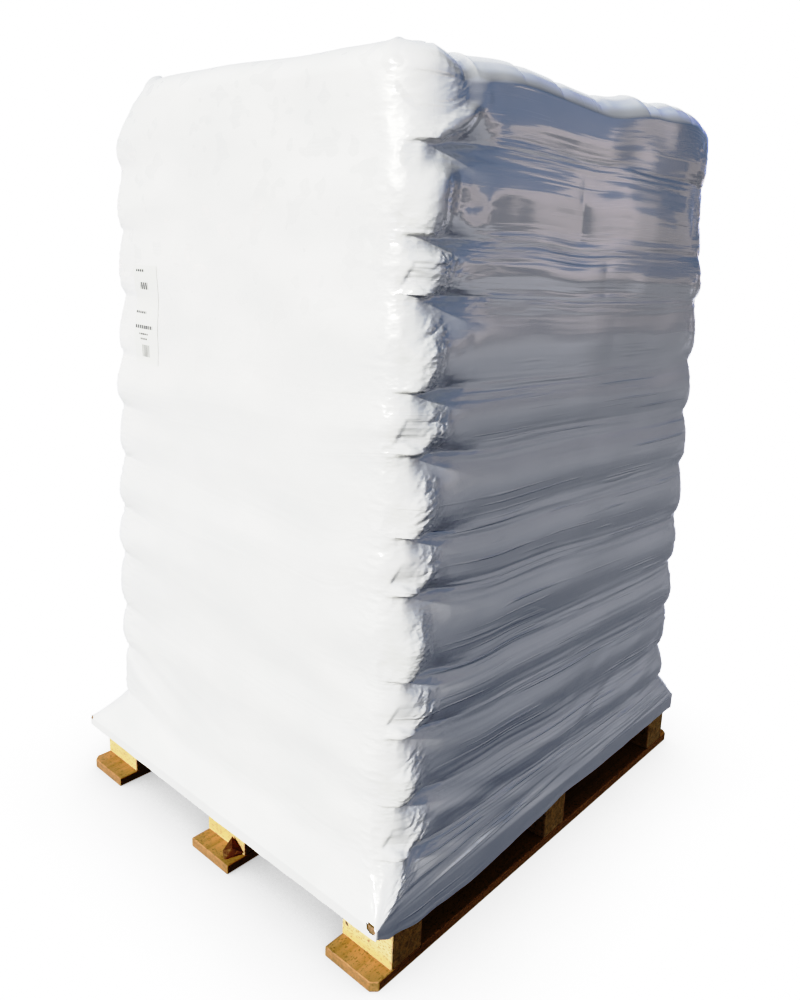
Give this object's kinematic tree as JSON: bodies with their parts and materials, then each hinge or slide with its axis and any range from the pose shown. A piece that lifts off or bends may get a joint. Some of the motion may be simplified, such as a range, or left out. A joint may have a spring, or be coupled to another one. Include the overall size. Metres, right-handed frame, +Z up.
{
  "type": "pallet of sacks",
  "caption": "Stretch-wrapped pallet of filled sacks stacked in crossed layers on a wooden pallet with bottom boards, covered on top and labelled.",
  "frame": {"origin": "on the floor, under the middle of the pallet", "axes": "+X across the pallet (1.0 m) to the right, +Y along it (1.2 m) to the back, +Z up; the front, where the skid ends show, is -Y"},
  "size_m": [1.0056, 1.2056, 1.6373],
  "materials": {
    "skid_wood": "rough sawn, weathered golden brown",
    "block_wood": "sawn pale yellow softwood with small knots",
    "board_wood": "rough sawn softwood",
    "offcut_wood": "dark split wood",
    "sack_film": "matt white sack film",
    "stretch_film": "opaque white stretch film, drawn tight, glossy",
    "cover_film": "white cover sheet, satin",
    "label_paper": "white label under film, plain"
  },
  "bodies": {
    "root": {"skid_left": "skid_wood", "skid_middle": "skid_wood", "skid_right": "skid_wood", "block_front_left": "block_wood", "block_front_middle": "block_wood", "block_front_right": "block_wood", "block_middle_left": "block_wood", "block_middle_middle": "block_wood", "block_middle_right": "block_wood", "block_back_left": "block_wood", "block_back_middle": "block_wood", "block_back_right": "block_wood", "stringer_front": "board_wood", "stringer_middle": "board_wood", "stringer_back": "board_wood", "deck_board_1": "board_wood", "deck_board_2": "board_wood", "deck_board_3": "board_wood", "deck_board_4": "board_wood", "deck_board_5": "board_wood", "deck_board_6": "board_wood", "deck_board_7": "board_wood", "wood_offcut": "offcut_wood", "sack_layer_01": "sack_film", "sack_layer_02": "sack_film", "sack_layer_03": "sack_film", "sack_layer_04": "sack_film", "sack_layer_05": "sack_film", "sack_layer_06": "sack_film", "sack_layer_07": "sack_film", "sack_layer_08": "sack_film", "sack_layer_09": "sack_film", "sack_layer_10": "sack_film", "sack_layer_11": "sack_film", "sack_layer_12": "sack_film", "stretch_wrap": "stretch_film", "top_sheet": "cover_film", "label": "label_paper"}
  },
  "joints": []
}
